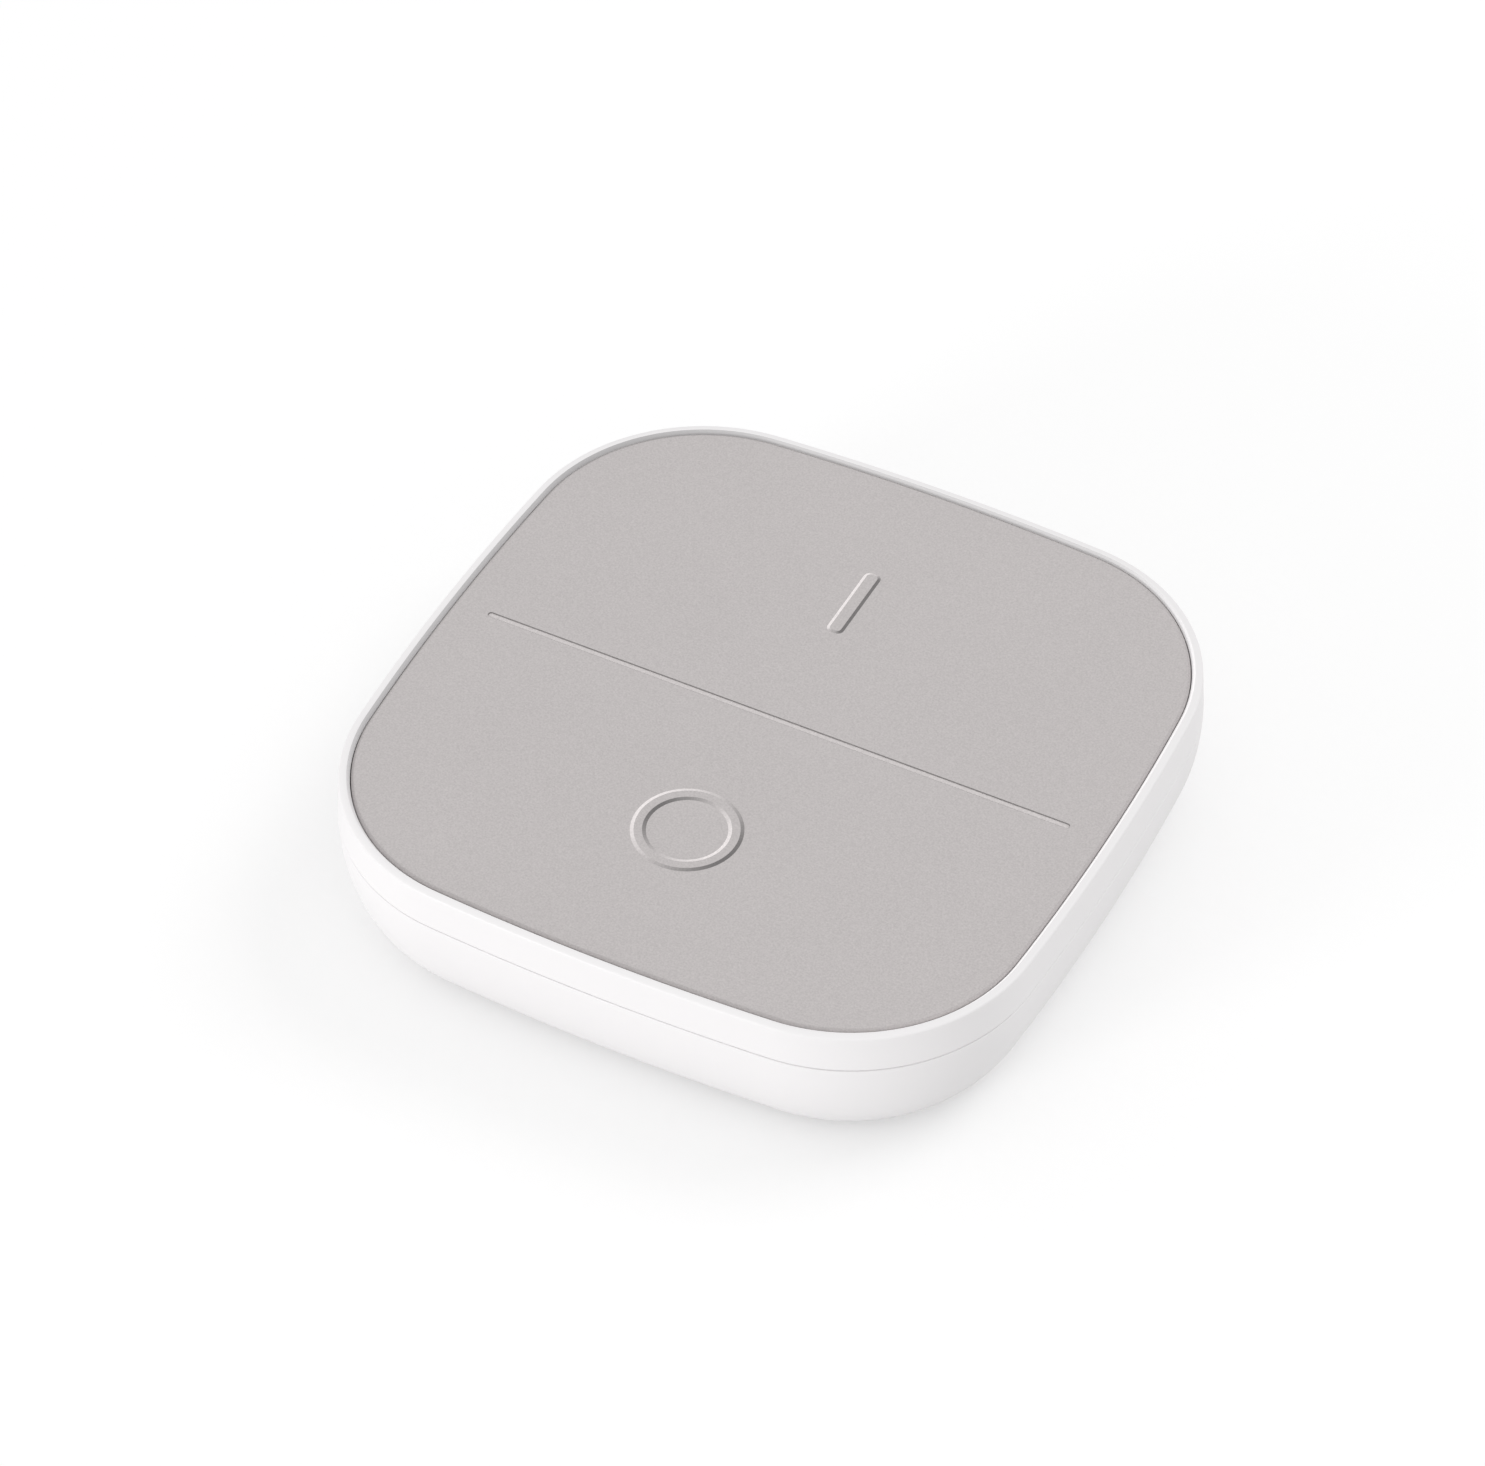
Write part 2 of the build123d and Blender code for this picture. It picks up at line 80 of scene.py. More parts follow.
MM = 0.001
FULL_TURN = 2 * math.pi
THIRD_TURN = 120  # degrees: the battery cover has three lugs


def size_of(node):
    """Lowest and highest corner of a solid, in millimetres."""
    low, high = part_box(node)
    return low / MM, high / MM


shell_low, shell_high = size_of("lower_shell")
frame_low, frame_high = size_of("upper_frame")
pad_low, pad_high = size_of("on_key_pad")
cover_low, cover_high = size_of("battery_cover")
feet_high = size_of("feet")[1]

half_width = frame_high.x
rim_z = frame_high.z
parting_z = shell_high.z
base_z = shell_low.z
pad_reach = pad_high.x
pad_top = pad_high.z
cover_y = (cover_low.y + cover_high.y) / 2
flange_radius = cover_high.x
foot_radius = 4.0
foot_place = feet_high.x - foot_radius
foot_places = [(x, y) for x in (-foot_place, foot_place) for y in (-foot_place, foot_place)]
print("half width", half_width, "rim", rim_z, "parting line", parting_z, "pad reach", pad_reach)

# %% [markdown]
# Turned and swept shapes start as a line. A small pen draws that line with vertices and edges: straight
# runs, arcs made by spinning the last vertex about a centre, and rounded corners. With a level it draws
# an outline seen from above, and without one it draws a section seen from the side.


# %% The pen
class Pen:
    """Draws a line: a section in X and Z, or an outline in X and Y where a level is given."""

    def __init__(self, mesh, u, v, at=(0.0, 0.0), level=None):
        self.mesh = mesh
        self.at = at
        self.level = level
        self.axis = (0, -1, 0) if level is None else (0, 0, 1)
        self.here = Vector((u, v))
        self.verts = [mesh.verts.new(self.place(u, v))]

    def place(self, u, v):
        """Where a drawn point lies in the model, in metres."""
        x, y = self.at
        if self.level is None:
            return Vector((x + u, y, v)) * MM
        return Vector((x + u, y + v, self.level)) * MM

    def straight(self, u, v):
        """One straight run."""
        vert = self.mesh.verts.new(self.place(u, v))
        self.mesh.edges.new((self.verts[-1], vert))
        self.verts.append(vert)
        self.here = Vector((u, v))

    def arc(self, centre, degrees, steps, height=1.0):
        """Spins the last point about a centre. The height stretches the arc into part of an ellipse."""
        middle = self.place(*centre)
        start = self.verts[-1]
        space = Matrix.Translation(-middle)
        bmesh.ops.scale(self.mesh, vec=(1, 1, 1 / height), space=space, verts=[start])
        before = set(self.mesh.verts)
        angle = math.radians(degrees)
        spun = bmesh.ops.spin(
            self.mesh, geom=[start], cent=middle, axis=self.axis, angle=angle, steps=steps
        )
        made = [vert for vert in self.mesh.verts if vert not in before]
        bmesh.ops.scale(self.mesh, vec=(1, 1, height), space=space, verts=[start, *made])
        last = spun["geom_last"][0]
        made.remove(last)
        self.verts += [*made, last]
        end = last.co / MM
        self.here = Vector((end.x - self.at[0], end.z if self.level is None else end.y - self.at[1]))
        return self

    def line(self, *places, steps=5):
        """Straight runs to each place. A third number rounds the corner there."""
        for index, (u, v, *rounding) in enumerate(places):
            corner = Vector((u, v))
            if not rounding:
                self.straight(u, v)
                continue
            onward = (Vector(places[index + 1][:2]) - corner).normalized()
            inward = (corner - self.here).normalized()
            turn = math.atan2(inward.x * onward.y - inward.y * onward.x, inward.dot(onward))
            start = corner - inward * rounding[0] * math.tan(abs(turn) / 2)
            side = Vector((-inward.y, inward.x)) * math.copysign(rounding[0], turn)
            self.straight(*start)
            self.arc(start + side, math.degrees(turn), steps)
        return self

    def close(self):
        """Joins the last point to the first."""
        self.mesh.edges.new((self.verts[-1], self.verts[0]))
        return self

    def edges(self):
        """The edges drawn so far."""
        own = set(self.verts)
        return [edge for edge in self.mesh.edges if own.issuperset(edge.verts)]

    def parts(self):
        """Vertices and edges, as spin takes them."""
        return self.verts + self.edges()


# %% [markdown]
# The body's outline is a rounded square whose sides bow out a little: on each quarter, a long flat arc,
# a tight corner arc and another flat arc, each tangent to the next. A section that turns about the
# centre of each arc in its turn follows that outline exactly, at any distance from it. That keeps the
# wall, the rim, the gap and the pad parallel, which a scaled copy would not do.

# %% Turning a section
SIDE_RADIUS = 220.0
CORNER_RADIUS = 16.0
SIDE_STEPS = 8
CORNER_STEPS = 30


def outline_arcs():
    """Centre, angle and steps of a quarter's arcs, from the middle of the +X side."""
    side = half_width - SIDE_RADIUS
    step = SIDE_RADIUS - CORNER_RADIUS
    corner = (side + math.sqrt(2 * step**2 - side**2)) / 2
    flat = math.atan2(corner, corner - side)
    return [
        (Vector((side, 0, 0)) * MM, flat, SIDE_STEPS),
        (Vector((corner, corner, 0)) * MM, math.pi / 2 - 2 * flat, CORNER_STEPS),
        (Vector((0, side, 0)) * MM, flat, SIDE_STEPS),
    ]


def carry_round(mesh, section):
    """Carries a section, drawn at the middle of the +X side, round the outline."""
    parts = section.parts()
    for quarter in range(4):
        turned = Matrix.Rotation(quarter * math.pi / 2, 3, "Z")
        for centre, angle, steps in outline_arcs():
            spun = bmesh.ops.spin(
                mesh, geom=parts, cent=turned @ centre, axis=(0, 0, 1), angle=angle, steps=steps
            )
            parts = spun["geom_last"]


def turn_full(mesh, section, steps=64):
    """Turns a section all the way about the upright line through the point it is drawn from."""
    centre = Vector((*section.at, 0)) * MM
    bmesh.ops.spin(
        mesh,
        geom=section.parts(),
        cent=centre,
        axis=(0, 0, 1),
        angle=FULL_TURN,
        steps=steps,
        use_merge=True,
    )


# %% [markdown]
# Flat faces with holes in them close the turned walls. Every open edge at one height is given to the
# triangle fill, which works out by itself which loops are holes. Moulded details such as a groove or a
# raised bar are a stack of the same outline, grown or shrunk from step to step and bridged.


# %% Filling and stacking
def weld(mesh):
    """Merges the vertices where turned pieces meet."""
    bmesh.ops.remove_doubles(mesh, verts=mesh.verts, dist=0.0002 * MM)


def fill_level(mesh, z):
    """Closes the flat face at a height, with holes where loops lie inside loops."""
    weld(mesh)
    flat = [
        edge
        for edge in mesh.edges
        if edge.is_boundary and all(abs(vert.co.z - z * MM) < 0.001 * MM for vert in edge.verts)
    ]
    bmesh.ops.triangle_fill(mesh, use_beauty=True, use_dissolve=False, edges=flat)


def stack_outlines(mesh, draw, profile):
    """Bridges one outline, drawn again at each (growth, height), and closes the last."""
    loops = [draw(mesh, growth, height).edges() for growth, height in profile]
    for first, second in zip(loops, loops[1:]):
        bmesh.ops.bridge_loops(mesh, edges=first + second)
    bmesh.ops.triangle_fill(mesh, use_beauty=True, use_dissolve=False, edges=loops[-1])


def long_hole(length, width, at):
    """A drawing function for an outline with straight sides along X and round ends."""

    def draw(mesh, growth, height):
        end = (length - width) / 2
        radius = width / 2 + growth
        pen = Pen(mesh, -end, -radius, at=at, level=height)
        pen.straight(end, -radius)
        pen.arc((end, 0), 180, 16)
        pen.straight(-end, radius)
        pen.arc((-end, 0), 180, 16)
        weld_end(pen)
        return pen

    return draw


def weld_end(pen):
    """Merges the last point of a closed outline into its first."""
    last = pen.verts.pop()
    bmesh.ops.weld_verts(pen.mesh, targetmap={last: pen.verts[0]})


def sector(mesh, corners, at, middle_degrees, span_degrees):
    """A closed block: a four-cornered section turned by an angle about the point it is drawn from."""
    pen = Pen(mesh, *corners[0], at=at)
    pen.line(*corners[1:]).close()
    centre = Vector((*at, 0)) * MM
    first_turn = Matrix.Rotation(math.radians(middle_degrees - span_degrees / 2), 3, "Z")
    bmesh.ops.rotate(mesh, cent=centre, matrix=first_turn, verts=pen.verts)
    first = pen.edges()
    span = math.radians(span_degrees)
    spun = bmesh.ops.spin(
        mesh, geom=pen.parts(), cent=centre, axis=(0, 0, 1), angle=span, steps=12
    )
    last = [part for part in spun["geom_last"] if isinstance(part, bmesh.types.BMEdge)]
    for loop in (first, last):
        bmesh.ops.triangle_fill(mesh, use_beauty=True, use_dissolve=False, edges=loop)


# %% [markdown]
# A drawn mesh becomes a piece in one place: welded, its normals turned outwards, shaded smooth except
# across real edges, given its finish, and tied to the body that carries it unless it has a bend; the
# solid it stands for is hidden.
# Smooth shading bends the light near a rounded edge over the whole flat face beside it. Weighted
# normals let the large face win, so flats look flat and only the rounding shades.

# %% Making a piece
SHARP_ANGLE = math.radians(32)


def make_piece(name, mesh, finish, body, solid, bend=None):
    """Turns a drawn mesh into a finished piece on a body. Given a bend, its place is baked in instead
    and it is not tied to the body; the bend's points are not read.
    """
    weld(mesh)
    bmesh.ops.recalc_face_normals(mesh, faces=mesh.faces)
    open_edges = sum(1 for edge in mesh.edges if not edge.is_manifold)
    data = bpy.data.meshes.new(name)
    mesh.to_mesh(data)
    mesh.free()
    data.materials.append(finish)
    data.shade_smooth()
    data.set_sharp_from_angle(angle=SHARP_ANGLE)
    piece = bpy.data.objects.new(name, data)
    bpy.context.scene.collection.objects.link(piece)
    flat = piece.modifiers.new("flat_stays_flat", "WEIGHTED_NORMAL")
    flat.keep_sharp = True
    if bend:
        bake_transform(piece)
    else:
        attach(piece, body)
    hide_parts(solid)
    print(name, "has", len(data.polygons), "faces and", open_edges, "open edges")
    return piece


# %% [markdown]
# ## Finishes
#
# A moulded surface is never one flat colour. A spark-eroded mould leaves a fine grain, and the tone
# drifts a little from place to place. Both effects are node groups, built once and placed in each
# material with its own values: the groups put out numbers, and the shader stays in the material.


# %% Shared effects
def new_group(name, inputs, outputs):
    """An empty node group with named number sockets."""
    group = bpy.data.node_groups.new(name, "ShaderNodeTree")
    for label, value in inputs.items():
        socket = group.interface.new_socket(name=label, in_out="INPUT", socket_type="NodeSocketFloat")
        socket.default_value = value
    for label in outputs:
        group.interface.new_socket(name=label, in_out="OUTPUT", socket_type="NodeSocketFloat")
    return group, group.nodes.new("NodeGroupInput"), group.nodes.new("NodeGroupOutput")


def noise_node(tree, detail, roughness):
    """A noise on Object coordinates, which stay put when the piece moves."""
    place = tree.nodes.new("ShaderNodeTexCoord")
    noise = tree.nodes.new("ShaderNodeTexNoise")
    noise.inputs["Detail"].default_value = detail
    noise.inputs["Roughness"].default_value = roughness
    tree.links.new(place.outputs["Object"], noise.inputs["Vector"])
    return noise


def grain_group():
    """Fine mould grain: a Height for the bump and a Speckle for the colour, both from 0 to 1."""
    group, given, out = new_group("mould_grain", {"Scale": 9000.0}, ["Height", "Speckle"])
    link = group.links.new
    place = group.nodes.new("ShaderNodeTexCoord")
    cells = group.nodes.new("ShaderNodeTexVoronoi")
    cells.feature = "SMOOTH_F1"
    cells.inputs["Smoothness"].default_value = 0.6
    link(place.outputs["Object"], cells.inputs["Vector"])
    link(given.outputs["Scale"], cells.inputs["Scale"])
    fine = noise_node(group, 3.0, 0.6)
    link(given.outputs["Scale"], fine.inputs["Scale"])
    both = group.nodes.new("ShaderNodeMath")
    both.operation = "MULTIPLY_ADD"
    both.inputs[1].default_value = 0.5
    link(cells.outputs["Distance"], both.inputs[0])
    link(fine.outputs["Fac"], both.inputs[2])
    link(both.outputs[0], out.inputs["Height"])
    link(fine.outputs["Fac"], out.inputs["Speckle"])
    return group


def drift_group():
    """Slow change of tone over a piece, from 0 to 1."""
    group, given, out = new_group("tone_drift", {"Scale": 60.0}, ["Drift"])
    slow = noise_node(group, 2.0, 0.5)
    group.links.new(given.outputs["Scale"], slow.inputs["Scale"])
    group.links.new(slow.outputs["Fac"], out.inputs["Drift"])
    return group


GRAIN = grain_group()
DRIFT = drift_group()


class Finish:
    """A material with its shader, and short ways to place nodes in it."""

    def __init__(self, name, **values):
        self.material = bpy.data.materials.new(name)
        self.material.use_nodes = True
        self.tree = self.material.node_tree
        self.shader = self.tree.nodes["Principled BSDF"]
        for label, value in values.items():
            self.shader.inputs[label.replace("_", " ")].default_value = value

    def link(self, source, target):
        self.tree.links.new(source, target)

    def group(self, group, **values):
        """Places a shared effect."""
        node = self.tree.nodes.new("ShaderNodeGroup")
        node.node_tree = group
        for label, value in values.items():
            node.inputs[label].default_value = value
        return node

    def colours(self, mask, stops):
        """A colour ramp that a mask drives."""
        ramp = self.tree.nodes.new("ShaderNodeValToRGB")
        for index, (position, colour) in enumerate(stops):
            if index < 2:
                element = ramp.color_ramp.elements[index]
                element.position = position
            else:
                element = ramp.color_ramp.elements.new(position)
            element.color = (*colour, 1.0)
        self.link(mask, ramp.inputs["Fac"])
        return ramp.outputs["Color"]

    def span(self, mask, low, high):
        """Maps a mask from 0..1 to low..high."""
        node = self.tree.nodes.new("ShaderNodeMapRange")
        node.inputs["To Min"].default_value = low
        node.inputs["To Max"].default_value = high
        self.link(mask, node.inputs["Value"])
        return node.outputs["Result"]

    def mix(self, share, first, second):
        """Mixes two colour sockets by a fixed share."""
        node = self.tree.nodes.new("ShaderNodeMix")
        node.data_type = "RGBA"
        node.inputs[0].default_value = share
        self.link(first, node.inputs[6])
        self.link(second, node.inputs[7])
        return node.outputs[2]

    def scaled(self, colour, attribute, share):
        """A colour made lighter or darker where a piece's own attribute is above or below 0."""
        if not share:
            return colour
        tone = self.tree.nodes.new("ShaderNodeAttribute")
        tone.attribute_name = attribute
        factor = self.tree.nodes.new("ShaderNodeMath")
        factor.operation = "MULTIPLY_ADD"
        factor.inputs[1].default_value = share
        factor.inputs[2].default_value = 1.0
        self.link(tone.outputs["Fac"], factor.inputs[0])
        scale = self.tree.nodes.new("ShaderNodeVectorMath")
        scale.operation = "SCALE"
        self.link(colour, scale.inputs[0])
        self.link(factor.outputs["Value"], scale.inputs["Scale"])
        return scale.outputs["Vector"]

    def bump(self, height, depth):
        """Raises the surface by a height mask, by at most a depth in metres."""
        node = self.tree.nodes.new("ShaderNodeBump")
        node.inputs["Strength"].default_value = 1.0
        node.inputs["Distance"].default_value = depth
        self.link(height, node.inputs["Height"])
        self.link(node.outputs["Normal"], self.shader.inputs["Normal"])


def shade(colour, factor):
    """A colour made lighter or darker."""
    return tuple(min(1.0, channel * factor) for channel in colour)


def moulded(name, colour, roughness, grain_scale, grain_depth, speckle=0.01, drift=0.01, edges=0.0):
    """A moulded plastic or rubber: speckled and drifting tone, painted highlight and shade from an
    attribute by the edges share, and a fine mould grain.
    """
    finish = Finish(name, Specular_IOR_Level=0.5)
    grain = finish.group(GRAIN, Scale=grain_scale)
    slow = finish.group(DRIFT, Scale=70.0)
    light, dark = shade(colour, 1 + speckle), shade(colour, 1 - speckle)
    speckled = finish.colours(grain.outputs["Speckle"], [(0.3, dark), (0.7, light)])
    light, dark = shade(colour, 1 + drift), shade(colour, 1 - drift)
    drifting = finish.colours(slow.outputs["Drift"], [(0.3, dark), (0.7, light)])
    # The edges share scales the painted highlight and shade kept in the piece's attribute.
    with_painted_light = finish.scaled(finish.mix(0.5, speckled, drifting), "painted_light_and_shade", edges)
    finish.link(with_painted_light, finish.shader.inputs["Base Color"])
    rough = finish.span(slow.outputs["Drift"], roughness * 0.93, roughness * 1.07)
    finish.link(rough, finish.shader.inputs["Roughness"])
    finish.bump(grain.outputs["Height"], grain_depth)
    return finish.material


# %% [markdown]
# The housing is white plastic with a satin surface. The pad is soft to the touch: matt, a warm grey,
# with a speckled grain that shows even at arm's length.

# %% Plastics and rubber
WHITE = (0.905, 0.889, 0.894)
PAD_GREY = (0.553, 0.522, 0.519)
# The edges value is the share of painted highlight and shade that each material shows.
white_plastic = moulded("white_plastic", WHITE, 0.42, 6000.0, 0.000002, 0.004, 0.004, edges=0.42)
soft_grey = moulded("soft_grey", PAD_GREY, 0.62, 6500.0, 0.00002, 0.2, 0.015, edges=0.7)
foot_rubber = moulded("foot_rubber", (0.45, 0.45, 0.44), 0.7, 4000.0, 0.00001, 0.04, 0.03)
carrier_plastic = moulded("carrier_plastic", (0.62, 0.62, 0.61), 0.5, 5000.0, 0.000006, 0.02, 0.02)
switch_plastic = moulded("switch_plastic", (0.03, 0.03, 0.03), 0.5, 7000.0, 0.000004, 0.1, 0.1)
plunger_plastic = moulded("plunger_plastic", (0.7, 0.68, 0.62), 0.4, 7000.0, 0.000003, 0.02, 0.02)
chip_plastic = moulded("chip_plastic", (0.02, 0.02, 0.022), 0.55, 9000.0, 0.000006, 0.2, 0.1)

# %% [markdown]
# ## The lower shell
#
# The lower half of the housing is a deep tray. Its side runs straight down from the parting line and
# then curves in to the base by a quarter of an ellipse, which a spun arc, stretched in height, gives.
# The wall is drawn as one line from the base up over the edge and down inside, so outside and inside
# are one surface. The screw bosses, foot recesses and battery well are turned lines whose ends lie in
# the two floors, and the fill closes both floors round them.

# %% Lower shell
WALL = 1.5
BASE_INSET = 5.1
CURVE_TOP = parting_z - 0.4
FLOOR_Z = 2.0
WELL_RADIUS = 15.5
WELL_WALL = 1.2
WELL_TOP = 7.0
RIB_COUNT = 8
RIB_DEGREES = 4.4
RIB_INNER = 12.55  # the ribs stop beside the cell
RIB_FOOT = 3.2
STOP_DEGREES = 6
STOP_PLACE_DEGREES = 16  # from the middle of a lug
COVER_GAP = 0.15
OPENING_RADIUS = 13.9
NOTCH_RADIUS = 15.35
NOTCH_DEGREES = 28.0
UNLOCK_DEGREES = 35.0
RECESS_TOP = base_z + 0.85
EDGE_ROUND = 0.14


def shell_wall(mesh):
    """The side, from the base's edge over the parting line and down to the floor inside."""
    outer_foot = half_width - BASE_INSET
    inner_top = half_width - WALL
    inner_foot = inner_top - BASE_INSET
    pen = Pen(mesh, outer_foot, base_z)
    pen.arc((outer_foot, CURVE_TOP), 90, 28, height=(CURVE_TOP - base_z) / BASE_INSET)
    pen.line((half_width, parting_z, EDGE_ROUND), (inner_top, parting_z), (inner_top, CURVE_TOP))
    pen.arc((inner_foot, CURVE_TOP), -90, 16, height=(CURVE_TOP - FLOOR_Z) / BASE_INSET)
    carry_round(mesh, pen)


def shell_boss(mesh, x, y):
    """Foot recess, screw counterbore and boss in one turned line, from the base to the floor."""
    recess_radius, head_radius, hole_radius, boss_radius = 4.15, 2.05, 1.15, 3.0
    recess_top, seat_top, boss_top = base_z + 0.5, 3.4, 8.0
    pen = Pen(mesh, recess_radius, base_z, at=(x, y))
    pen.line(
        (recess_radius, recess_top),
        (head_radius, recess_top),
        (head_radius, seat_top),
        (hole_radius, seat_top),
        (hole_radius, boss_top),
        (boss_radius, boss_top),
        (boss_radius, FLOOR_Z),
    )
    turn_full(mesh, pen, 48)


def boss_gussets(mesh, x, y):
    """Two crossed webs that stiffen a screw boss, standing on the floor."""
    reach, width, height, sunk = 4.6, 0.8, 3.0, 0.1
    for along_x, along_y in ((2 * reach, width), (width, 2 * reach)):
        middle = Vector((x, y, FLOOR_Z + (height - sunk) / 2)) * MM
        size = Matrix.Diagonal((along_x * MM, along_y * MM, (height + sunk) * MM, 1))
        bmesh.ops.create_cube(mesh, size=1.0, matrix=Matrix.Translation(middle) @ size)


def cover_opening(mesh):
    """The opening for the battery cover, with a notch for each of its lugs."""
    pen = None
    for third in range(3):
        start = math.radians(THIRD_TURN * third - UNLOCK_DEGREES + NOTCH_DEGREES / 2)
        here = Vector((math.cos(start), math.sin(start)))
        if pen is None:
            pen = Pen(mesh, *(here * OPENING_RADIUS), at=(0, cover_y), level=FLOOR_Z)
        pen.arc((0, 0), THIRD_TURN - NOTCH_DEGREES, 46)
        onward = Matrix.Rotation(math.radians(THIRD_TURN - NOTCH_DEGREES), 2) @ here
        pen.straight(*(onward * NOTCH_RADIUS))
        pen.arc((0, 0), NOTCH_DEGREES, 14)
        end = Matrix.Rotation(math.radians(THIRD_TURN), 2) @ here
        pen.straight(*(end * OPENING_RADIUS))
    weld_end(pen)
    sides = bmesh.ops.extrude_edge_only(mesh, edges=pen.edges())
    lowered = [part for part in sides["geom"] if isinstance(part, bmesh.types.BMVert)]
    bmesh.ops.translate(mesh, vec=(0, 0, (RECESS_TOP - FLOOR_Z) * MM), verts=lowered)


def battery_well(mesh):
    """The round wall about the cell, with its ribs and the stops for the cover's lugs."""
    at = (0, cover_y)
    outer = WELL_RADIUS + WELL_WALL
    pen = Pen(mesh, outer, FLOOR_Z, at=at)
    pen.line((outer, WELL_TOP), (WELL_RADIUS, WELL_TOP), (WELL_RADIUS, FLOOR_Z))
    turn_full(mesh, pen, 96)
    recess = Pen(mesh, flange_radius + COVER_GAP, base_z, at=at)
    recess.line((flange_radius + COVER_GAP, RECESS_TOP))
    turn_full(mesh, recess, 96)
    in_wall = WELL_RADIUS + WELL_WALL / 2
    rib_top = WELL_TOP - 0.01
    rib = [(RIB_INNER, RIB_FOOT), (in_wall, RIB_FOOT), (in_wall, rib_top), (RIB_INNER, rib_top)]
    rib_step = 360 / RIB_COUNT
    for index in range(RIB_COUNT):
        sector(mesh, rib, at, rib_step * (index + 0.5), RIB_DEGREES)
    sunk = FLOOR_Z - 0.2
    stop = [(OPENING_RADIUS, sunk), (in_wall, sunk), (in_wall, RIB_FOOT), (OPENING_RADIUS, RIB_FOOT)]
    for third in range(3):
        locked = THIRD_TURN * third
        sector(mesh, stop, at, locked + STOP_PLACE_DEGREES, STOP_DEGREES)
        sector(mesh, stop, at, locked - UNLOCK_DEGREES - STOP_PLACE_DEGREES, STOP_DEGREES)


shell = bmesh.new()
shell_wall(shell)
for x, y in foot_places:
    shell_boss(shell, x, y)
    boss_gussets(shell, x, y)
cover_opening(shell)
battery_well(shell)
for level in (base_z, RECESS_TOP, FLOOR_Z):
    fill_level(shell, level)
make_piece("housing_lower", shell, white_plastic, "housing", "lower_shell")

# %% [markdown]
# ## The upper frame
#
# The band above the parting line is a ring with a thin rim round the keys. Its side leans in a little
# on its way up, and the rim's top falls outwards, so the rim catches its own band of light. A fine step
# under its outer edge leaves the dark line that parts it from the shell: a real gap hides small
# differences between two mouldings, and it draws a better line than a painted one. The line below is
# the whole section: gap, side, rim, inner wall, foot, ledge for the carrier, and the tongue inside the
# lower shell.

# %% Upper frame
FRAME_DRAFT = 0.2
RIM_WIDTH = 0.9
RIM_FLAT = 0.42
RIM_SLOPE = 0.13
RIM_ROUND = 0.2
RIM_BEVEL = 0.25
RIM_BEVEL_DEPTH = 0.32
BEVEL_ROUND = 0.05
SHADOW_GAP = 0.12
SHADOW_GAP_DEPTH = 0.6
LOWER_EDGE_ROUND = 0.05
WEB_TOP = parting_z + 0.6
TONGUE_OUTER = half_width - 1.65
TONGUE_INNER = half_width - 2.7
LEDGE_INNER = TONGUE_INNER - 1.5
LEDGE_TOP = 10.0
LEDGE_LOW = frame_low.z
# The rim's inner bevel is painted pale where it faces this way and dark where it faces away: painted
# highlight and shade.
BEVEL_PAINTED_LIGHT_SIDE = Vector((-0.8, 0.6, 0.0))


def paint_light_on_bevel(mesh):
    """Paints highlight and shade on the bevel inside the rim, from -1 to 1 by the way it faces, as on
    the pad below.
    """
    bmesh.ops.recalc_face_normals(mesh, faces=mesh.faces)
    tone = mesh.faces.layers.float.new("painted_light_and_shade")
    for face in mesh.faces:
        middle = face.calc_center_median() / MM
        level = Vector((face.normal.x, face.normal.y, 0.0))
        inward = level.dot(middle) < 0
        high = middle.z > rim_z - RIM_BEVEL_DEPTH
        if inward and high and face.normal.z > 0.1:
            # Painted highlight or shade by the way the bevel faces.
            face[tone] = level.normalized().dot(BEVEL_PAINTED_LIGHT_SIDE)


ring = bmesh.new()
rim_outer = half_width - FRAME_DRAFT
rim_inner = rim_outer - RIM_WIDTH
gap_inner = half_width - SHADOW_GAP_DEPTH
pen = Pen(ring, TONGUE_OUTER, parting_z)
pen.line(
    (gap_inner, parting_z),
    (gap_inner, parting_z + SHADOW_GAP),
    (half_width, parting_z + SHADOW_GAP, LOWER_EDGE_ROUND),
    (rim_outer, rim_z - RIM_SLOPE, RIM_ROUND),
    (rim_inner + RIM_FLAT, rim_z),
    (rim_inner + RIM_BEVEL, rim_z, BEVEL_ROUND),
    (rim_inner, rim_z - RIM_BEVEL_DEPTH, BEVEL_ROUND),
    (rim_inner, WEB_TOP),
    (TONGUE_INNER, WEB_TOP),
    (TONGUE_INNER, LEDGE_TOP),
    (LEDGE_INNER, LEDGE_TOP),
    (LEDGE_INNER, LEDGE_LOW),
    (TONGUE_OUTER, LEDGE_LOW),
)
pen.close()
carry_round(ring, pen)
paint_light_on_bevel(ring)
make_piece("housing_frame", ring, white_plastic, "housing", "upper_frame")

# %% [markdown]
# ## The key pad
#
# The real pad is one soft moulding. It is made here whole, with its groove and both marks, and then
# cut in two along the groove's middle, because each half rides on its own key. The marks stand a little
# proud, with sloping sides. They belong to the moulding, so their edges are loops in the pad's top,
# which the fill closes like the outline. A narrow flat strip beside each rounded edge keeps the smooth
# shading off the large flat face.
#
# The photograph shows these low slopes crisper than soft light alone draws them: the marks are pale
# where they face left and dark where they face right, and the groove has dark sides and a pale floor.
# So each of these faces carries painted highlight and painted shade in an attribute, the pad's rounded
# edge a little painted shade, and the pad's material reads that attribute.
#
# Each half is given two bend points beside the groove, but nothing here bends it: its place is baked
# in, and it is not tied to its key.

